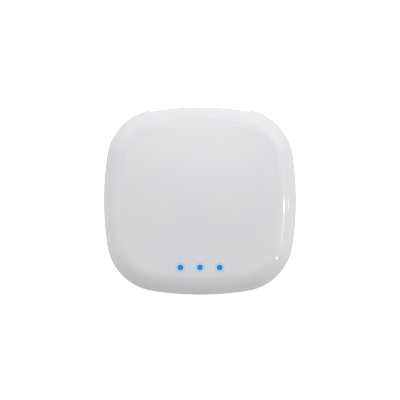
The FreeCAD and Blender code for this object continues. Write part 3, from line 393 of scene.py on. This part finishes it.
def on_surface(point):
    """Whether a point is on the cover's outer surface."""
    turn, inset = plan_turn(point.x, point.y)
    centre, outward, up = edge_ball(turn)
    if point.z < centre.z:
        return abs(inset) < 0.02 * MM
    if inset > EDGE_RADIUS or (point - centre).normalized().dot(outward) < up.dot(outward):
        return abs((point - DOME_CENTRE).length - DOME_RADIUS) < 0.02 * MM
    return abs((point - centre).length - EDGE_RADIUS) < 0.02 * MM


def make_cover():
    cover = new_object("cover_shell", cover_body())
    combined(cover, cover_bosses(), "UNION")
    combined(cover, cover_cutters(), "DIFFERENCE")
    cover.data.materials.clear()
    set_exact_normals(cover.data)
    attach(cover, "hub")
    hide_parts("top_cover")
    return cover


# ---------------------------------------------------------------- materials
class Surface:
    """A procedural material, built a node at a time.

    Its textures are placed in millimetres of the part's frame.
    """

    def __init__(self, name, color, roughness, metallic=0.0):
        self.material = bpy.data.materials.new(name)
        self.material.use_nodes = True
        self.tree = self.material.node_tree
        self.shader = self.tree.nodes["Principled BSDF"]
        self.put("Base Color", (*color, 1.0))
        self.put("Roughness", roughness)
        self.put("Metallic", metallic)
        place = self.node("TexCoord").outputs["Object"]
        self.place = self.node("Mapping", {"Vector": place, "Scale": (1000, 1000, 1000)}).outputs["Vector"]

    def node(self, kind, inputs=None, **settings):
        made = self.tree.nodes.new("ShaderNode" + kind)
        for key, value in settings.items():
            setattr(made, key, value)
        for key, value in (inputs or {}).items():
            self.feed(made.inputs[key], value)
        return made

    def feed(self, socket, value):
        if isinstance(value, bpy.types.NodeSocket):
            self.tree.links.new(value, socket)
        else:
            socket.default_value = value

    def put(self, socket, value):
        self.feed(self.shader.inputs[socket], value)

    def math(self, operation, *values, clamp=False):
        made = self.node("Math", operation=operation, use_clamp=clamp)
        for socket, value in zip(made.inputs, values):
            self.feed(socket, value)
        return made.outputs[0]

    def vector_math(self, operation, *values):
        made = self.node("VectorMath", operation=operation)
        for socket, value in zip(made.inputs, values):
            self.feed(socket, value)
        return made

    def noise(self, per_mm, detail=3.0, roughness=0.5, stretch=(1, 1, 1)):
        place = self.place
        if stretch != (1, 1, 1):
            place = self.node("Mapping", {"Vector": place, "Scale": stretch}).outputs["Vector"]
        inputs = {"Vector": place, "Scale": per_mm, "Detail": detail, "Roughness": roughness}
        return self.node("TexNoise", inputs).outputs["Fac"]

    def ramp(self, value, low, high, out_low, out_high, shape="LINEAR"):
        """The value, taken from one range to another and held at the ends."""
        inputs = {0: value, 1: low, 2: high, 3: out_low, 4: out_high}
        return self.node("MapRange", inputs, interpolation_type=shape).outputs[0]

    def blend(self, share, first, second):
        made = self.node("Mix", data_type="RGBA")
        self.feed(made.inputs[0], share)
        self.feed(made.inputs[6], first if isinstance(first, bpy.types.NodeSocket) else (*first, 1.0))
        self.feed(made.inputs[7], second if isinstance(second, bpy.types.NodeSocket) else (*second, 1.0))
        return made.outputs[2]

    def bump(self, height, depth_mm, strength=1.0):
        inputs = {"Height": height, "Distance": depth_mm * MM, "Strength": strength}
        self.put("Normal", self.node("Bump", inputs).outputs["Normal"])

    def distance_xy(self, x, y):
        """The distance in millimetres from the upright line through (x, y), given in metres."""
        flat = self.vector_math("MULTIPLY", self.place, (1, 1, 0)).outputs[0]
        return self.vector_math("DISTANCE", flat, (x / MM, y / MM, 0)).outputs["Value"]


def cover_plastic():
    """Glossy white moulded plastic, with a painted blue glow round each light, in both its colour and its
    emission.
    """
    s = Surface("cover_plastic", (0.8, 0.805, 0.82), 0.1)
    # painted glow: a mask that is full round each light and fades out to nothing 2.75 mm from its middle
    painted_glow = None
    for x in LIGHT_XS:
        reach = s.ramp(s.distance_xy(x, LIGHT_Y), 1.45, 2.75, 1.0, 0.0, "SMOOTHSTEP")
        painted_glow = reach if painted_glow is None else s.math("MAXIMUM", painted_glow, reach)
    cloud = s.ramp(s.noise(0.05, 2.0), 0.3, 0.7, 0.0, 1.0)
    white = s.blend(cloud, (0.795, 0.8, 0.815), (0.81, 0.815, 0.825))
    # painted glow: the base colour turns blue and the surface emits blue light round each light, standing in
    # for light shining through the plastic
    s.put("Base Color", s.blend(painted_glow, white, (0.42, 0.62, 0.84)))
    s.put("Emission Color", (0.03, 0.5, 1.0, 1.0))
    s.put("Emission Strength", s.math("MULTIPLY", s.math("POWER", painted_glow, 3.0), 0.32))
    s.put("Roughness", s.ramp(s.noise(0.35, 5.0, 0.6), 0.35, 0.7, 0.07, 0.13))
    s.put("Coat Weight", 0.25)
    s.put("Coat Roughness", 0.03)
    s.put("IOR", 1.5)
    s.bump(s.noise(0.45, 2.0), 0.012)
    return s.material


def base_plastic():
    """Matte white plastic with a fine spark-eroded grain."""
    s = Surface("base_plastic", (0.74, 0.745, 0.755), 0.5)
    cloud = s.ramp(s.noise(0.08, 2.0), 0.3, 0.7, 0.0, 1.0)
    s.put("Base Color", s.blend(cloud, (0.72, 0.725, 0.735), (0.755, 0.76, 0.77)))
    s.put("Roughness", s.ramp(s.noise(2.5, 4.0), 0.3, 0.7, 0.42, 0.58))
    s.bump(s.noise(5.0, 3.0, 0.6), 0.05, 0.7)
    return s.material


def light_resin():
    """Clear acrylic that carries blue light: brightest in the middle of each tip, deeper at its edge."""
    s = Surface("light_resin", (0.02, 0.1, 0.25), 0.12)
    nearest = None
    for x in LIGHT_XS:
        reach = s.distance_xy(x, LIGHT_Y)
        nearest = reach if nearest is None else s.math("MINIMUM", nearest, reach)
    core = s.ramp(nearest, 0.05, 0.62, 1.0, 0.0, "SMOOTHSTEP")
    ring = (0.006, 0.1, 0.33)
    centre = (0.045, 0.25, 0.52)
    s.put("Emission Color", s.blend(core, ring, centre))
    s.put("Emission Strength", s.ramp(s.noise(3.0, 2.0), 0.3, 0.7, 0.96, 1.04))
    s.put("IOR", 1.49)
    return s.material


def rubber():
    s = Surface("rubber", (0.06, 0.06, 0.065), 0.8)
    cloud = s.ramp(s.noise(0.6, 4.0), 0.3, 0.7, 0.0, 1.0)
    s.put("Base Color", s.blend(cloud, (0.05, 0.05, 0.055), (0.085, 0.085, 0.09)))
    s.put("Roughness", s.ramp(s.noise(1.5, 3.0), 0.3, 0.7, 0.7, 0.9))
    s.bump(s.noise(6.0, 3.0), 0.05, 0.8)
    return s.material


def label_film():
    """A blank satin label with a thin printed frame and two printed rules."""
    s = Surface("label_film", (0.82, 0.82, 0.8), 0.35)
    low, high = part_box("rating_label")
    from_middle = s.vector_math("SUBTRACT", s.place, tuple((low + high) / 2 / MM)).outputs[0]
    either_way = s.vector_math("ABSOLUTE", from_middle).outputs[0]
    across = s.node("SeparateXYZ", {"Vector": either_way}).outputs
    half_x, half_y = (high.x - low.x) / 2 / MM, (high.y - low.y) / 2 / MM
    from_end = s.math("SUBTRACT", half_x, across["X"])
    from_edge = s.math("MINIMUM", from_end, s.math("SUBTRACT", half_y, across["Y"]))
    frame_line = s.math("COMPARE", from_edge, 1.2, 0.12)
    rule_row = s.math("COMPARE", across["Y"], 3.5, 0.1)
    rule = s.math("MULTIPLY", rule_row, s.math("GREATER_THAN", from_end, 3.0))
    printed = s.math("MAXIMUM", frame_line, rule)
    cloud = s.ramp(s.noise(1.2, 3.0), 0.3, 0.7, 0.0, 1.0)
    fibre = s.blend(cloud, (0.8, 0.8, 0.78), (0.84, 0.84, 0.82))
    s.put("Base Color", s.blend(printed, fibre, (0.22, 0.22, 0.24)))
    s.put("Roughness", s.ramp(s.noise(4.0, 2.0), 0.3, 0.7, 0.3, 0.42))
    s.bump(s.noise(3.0, 2.0), 0.01)
    return s.material


def moulded(name, color, roughness, per_mm=4.0, depth_mm=0.03):
    """A plain moulded plastic or epoxy with a fine grain."""
    s = Surface(name, color, roughness)
    lighter = tuple(min(1.0, c * 1.25 + 0.004) for c in color)
    s.put("Base Color", s.blend(s.ramp(s.noise(0.4, 3.0), 0.3, 0.7, 0.0, 1.0), color, lighter))
    s.put("Roughness", s.ramp(s.noise(per_mm, 3.0), 0.3, 0.7, roughness - 0.08, roughness + 0.08))
    s.bump(s.noise(per_mm, 3.0, 0.6), depth_mm, 0.6)
    return s.material


def sheet_metal(name, color, roughness, stretch=(1, 1, 12)):
    """Plated sheet metal with fine drawn lines along one direction."""
    s = Surface(name, color, roughness, metallic=1.0)
    drawn = s.noise(1.6, 4.0, 0.6, stretch)
    duller = tuple(c * 0.82 for c in color)
    s.put("Base Color", s.blend(s.ramp(drawn, 0.3, 0.7, 0.0, 1.0), duller, color))
    s.put("Roughness", s.ramp(drawn, 0.3, 0.7, roughness - 0.07, roughness + 0.09))
    s.bump(drawn, 0.01, 0.5)
    return s.material


def board_mask(name, mask, copper):
    """Solder mask over copper: a net of straight tracks and round vias shows through it."""
    s = Surface(name, mask, 0.3)
    cells = s.node("TexVoronoi", {"Vector": s.place, "Scale": 0.45, "Randomness": 0.8})
    cells.feature = "F1"
    cells.distance = "MANHATTAN"
    track = s.math("LESS_THAN", s.math("PINGPONG", cells.outputs["Distance"], 0.18), 0.05)
    dots = s.node("TexVoronoi", {"Vector": s.place, "Scale": 0.6, "Randomness": 1.0})
    via = s.math("LESS_THAN", dots.outputs["Distance"], 0.14)
    shown = s.math("MAXIMUM", s.math("MULTIPLY", track, 0.55), via, clamp=True)
    s.put("Base Color", s.blend(shown, mask, copper))
    s.put("Roughness", s.ramp(s.noise(2.0, 3.0), 0.3, 0.7, 0.22, 0.36))
    s.bump(shown, 0.03, 0.8)
    return s.material


def fired_ceramic(name, color):
    s = Surface(name, color, 0.45)
    grain = s.ramp(s.noise(8.0, 3.0), 0.3, 0.7, 0.0, 1.0)
    s.put("Base Color", s.blend(grain, tuple(c * 0.8 for c in color), color))
    s.put("Roughness", s.ramp(s.noise(6.0, 2.0), 0.3, 0.7, 0.38, 0.52))
    s.bump(s.noise(10.0, 2.0), 0.01)
    return s.material


def lamp_window():
    """Clear windows with an unlit lamp behind each: amber in one, green in the other."""
    s = Surface("lamp_window", (0.5, 0.5, 0.3), 0.15)
    low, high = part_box("network_light_windows")
    along = s.node("SeparateXYZ", {"Vector": s.place}).outputs["X"]
    side = s.math("GREATER_THAN", along, (low.x + high.x) / 2 / MM)
    tint = s.blend(side, (0.62, 0.36, 0.07), (0.2, 0.46, 0.14))
    paler = s.blend(0.5, tint, (0.75, 0.75, 0.6))
    s.put("Base Color", s.blend(s.ramp(s.noise(1.5, 2.0), 0.3, 0.7, 0.0, 1.0), tint, paler))
    s.put("Roughness", s.ramp(s.noise(4.0, 2.0), 0.3, 0.7, 0.1, 0.2))
    s.put("Coat Weight", 0.5)
    return s.material


TIN = (0.72, 0.72, 0.7)
GOLD = (0.9, 0.62, 0.24)


def dress():
    """Every CAD node that is still shown gets its material."""
    black = moulded("black_plastic", (0.012, 0.012, 0.013), 0.42)
    epoxy = moulded("black_epoxy", (0.02, 0.02, 0.022), 0.5, 6.0)
    tin = sheet_metal("tin_plate", TIN, 0.28)
    zinc = sheet_metal("zinc_steel", (0.66, 0.67, 0.69), 0.32, (1, 1, 6))
    gold = sheet_metal("gold_plate", GOLD, 0.22, (1, 6, 1))
    module = board_mask("module_mask", (0.008, 0.02, 0.06), (0.03, 0.06, 0.12))
    foot_nodes = [name for name in NODES if name.startswith("foot_")]
    looks = [
        (base_plastic(), ["bottom_case"]),
        (rubber(), foot_nodes),
        (label_film(), ["rating_label"]),
        (zinc, ["case_screws", "board_screws"]),
        (board_mask("board_mask", (0.008, 0.09, 0.035), (0.03, 0.2, 0.07)), ["main_board"]),
        (module, ["wlan_module_board", "mesh_module_board"]),
        (light_resin(), ["light_guide"]),
        (moulded("led_resin", (0.75, 0.8, 0.85), 0.3), ["status_leds"]),
        (black, ["light_baffle", "network_socket_housing", "power_socket_tongue", "reset_switch_body"]),
        (black, ["capacitor_bases", "service_header_base"]),
        (epoxy, ["processor_chip", "memory_chip", "flash_chip", "network_chip", "network_transformer"]),
        (epoxy, ["regulator_chips", "power_inductors"]),
        (moulded("thermal_silicone", (0.22, 0.3, 0.42), 0.65, 2.0), ["processor_thermal_pad"]),
        (tin, ["processor_shield_frame", "processor_shield_lid"]),
        (tin, ["wlan_module_shield", "wlan_antenna", "mesh_module_shield", "mesh_antenna"]),
        (tin, ["network_socket_shield", "power_socket_shell"]),
        (tin, ["crystal_cans", "reset_switch_bracket", "component_leads", "reset_switch_snap_disc"]),
        (gold, ["network_contacts", "power_socket_contacts", "service_header_pins"]),
        (lamp_window(), ["network_light_windows"]),
        (sheet_metal("capacitor_aluminium", (0.8, 0.8, 0.82), 0.3, (1, 1, 8)), ["capacitor_cans"]),
        (fired_ceramic("capacitor_ceramic", (0.4, 0.27, 0.16)), ["chip_capacitors"]),
        (fired_ceramic("resistor_ceramic", (0.03, 0.03, 0.035)), ["chip_resistors"]),
        (moulded("button_plastic", (0.16, 0.165, 0.175), 0.4), ["reset_button", "reset_switch_plunger"]),
    ]
    for material, names in looks:
        for name in names:
            mesh_slots = NODES[name].data.materials
            mesh_slots.clear()
            mesh_slots.append(material)


# ---------------------------------------------------------------- studio
FLOOR_RADIUS = 5.0


def studio_floor():
    """A pale paper floor that fades into the white air round it."""
    steps = 96
    rings = [0.2, 1.0, FLOOR_RADIUS]
    points = [Vector((0, 0, 0))]
    faces = []
    for radius in rings:
        for i in range(steps):
            turn = 2 * math.pi * i / steps
            points.append(Vector((radius * math.cos(turn), radius * math.sin(turn), 0)))
    for i in range(steps):
        j = (i + 1) % steps
        faces.append((0, 1 + i, 1 + j))
        for ring in range(len(rings) - 1):
            low, high = 1 + ring * steps, 1 + (ring + 1) * steps
            faces.append((low + i, high + i, high + j, low + j))
    floor = new_object("studio_floor", mesh_from("studio_floor", points, faces))
    s = Surface("studio_paper", (0.88, 0.88, 0.88), 0.9)
    s.put("Emission Color", (1, 1, 1, 1))
    s.put("Emission Strength", s.math("MULTIPLY", s.node("LightPath").outputs["Is Camera Ray"], 0.66))
    floor.data.materials.append(s.material)


def direction(polar, azimuth):
    """The unit vector that leans from straight up by polar degrees, towards azimuth degrees from +X."""
    lean, turn = math.radians(polar), math.radians(azimuth)
    return Vector((math.sin(lean) * math.cos(turn), math.sin(lean) * math.sin(turn), math.cos(lean)))


def studio_air():
    """Soft light from all round, as a sum of round patches that fade outwards.

    One tight patch stands almost overhead, four wide ones behind and beside, and a ring near the horizon.
    """
    lobes = [(direction(14, 90), 60, 1.85)]
    for azimuth, strength in ((0, 0.4), (45, 1.36), (135, 1.08), (180, 0.36)):
        lobes.append((direction(50, azimuth), 5, strength))
    for azimuth, strength in ((30, 0.44), (90, 0.52), (150, 0.73), (210, 0.46), (270, 0.58), (330, 0.65)):
        lobes.append((direction(80, azimuth), 8, strength))
    world = bpy.data.worlds.new("studio_air")
    bpy.context.scene.world = world
    world.use_nodes = True
    tree = world.node_tree
    add = tree.nodes.new
    view = add("ShaderNodeTexCoord").outputs["Generated"]
    total = None
    for axis, tightness, strength in lobes:
        dot = add("ShaderNodeVectorMath")
        dot.operation = "DOT_PRODUCT"
        tree.links.new(view, dot.inputs[0])
        dot.inputs[1].default_value = axis
        value = dot.outputs["Value"]
        for operation, amount in (("MAXIMUM", 0.0), ("POWER", tightness), ("MULTIPLY", strength)):
            step = add("ShaderNodeMath")
            step.operation = operation
            tree.links.new(value, step.inputs[0])
            step.inputs[1].default_value = amount
            value = step.outputs[0]
        if total is not None:
            step = add("ShaderNodeMath")
            tree.links.new(total, step.inputs[0])
            tree.links.new(value, step.inputs[1])
            value = step.outputs[0]
        total = value
    seen = add("ShaderNodeMath")
    seen.operation = "MAXIMUM"
    tree.links.new(total, seen.inputs[0])
    tree.links.new(add("ShaderNodeLightPath").outputs["Is Camera Ray"], seen.inputs[1])
    background = tree.nodes["Background"]
    background.inputs["Color"].default_value = (1, 1, 1, 1)
    tree.links.new(seen.outputs[0], background.inputs["Strength"])


LAMP_DISTANCE = 1.2


def lamp(name, towards, size, watts):
    """A lamp that faces the hub from a direction; its size is (along the floor, up) in metres."""
    light = bpy.data.lights.new(name, "AREA")
    light.shape = "RECTANGLE"
    light.size, light.size_y = size
    light.energy = watts
    made = bpy.data.objects.new(name, light)
    made.location = Vector(towards).normalized() * LAMP_DISTANCE
    made.rotation_euler = made.location.to_track_quat("Z", "Y").to_euler()
    made.visible_camera = False
    bpy.context.scene.collection.objects.link(made)


def studio_lamps():
    """The small lamps whose reflections draw the fine bright lines along the right-hand edge."""
    lamp("strip", (0.776, -0.021, 0.631), (0.035, 0.10), 0.33)
    lamp("strip_tail", (0.776, -0.09, 0.631), (0.12, 0.03), 0.12)
    lamp("low_strip", (0.97, -0.02, 0.237), (0.04, 0.06), 0.13)
    lamp("corner_spark", (0.716, -0.401, 0.572), (0.06, 0.06), 0.38)
    lamp("rear_spark", (0.302, 0.947, 0.105), (0.05, 0.05), 0.31)


# ---------------------------------------------------------------- camera
# The photograph looks straight down.  The body is 90 mm wide and takes 48.1% of the frame's width.
CAMERA_HEIGHT = 0.9
WIDEST_Z = 16.0 * MM
BODY_SHARE = 0.4813
SENSOR = 36.0


def make_camera():
    lens = bpy.data.cameras.new("camera")
    lens.sensor_width = SENSOR
    frame_width = 2 * HALF_X / BODY_SHARE
    lens.lens = SENSOR * (CAMERA_HEIGHT - WIDEST_Z) / frame_width
    camera = bpy.data.objects.new("camera", lens)
    camera.location = (0, 0.13 * MM, CAMERA_HEIGHT)
    bpy.context.scene.collection.objects.link(camera)
    bpy.context.scene.camera = camera
    bpy.context.scene.view_settings.view_transform = "Standard"


make_camera()
studio_floor()
studio_air()
studio_lamps()
make_cover().data.materials.append(cover_plastic())
dress()
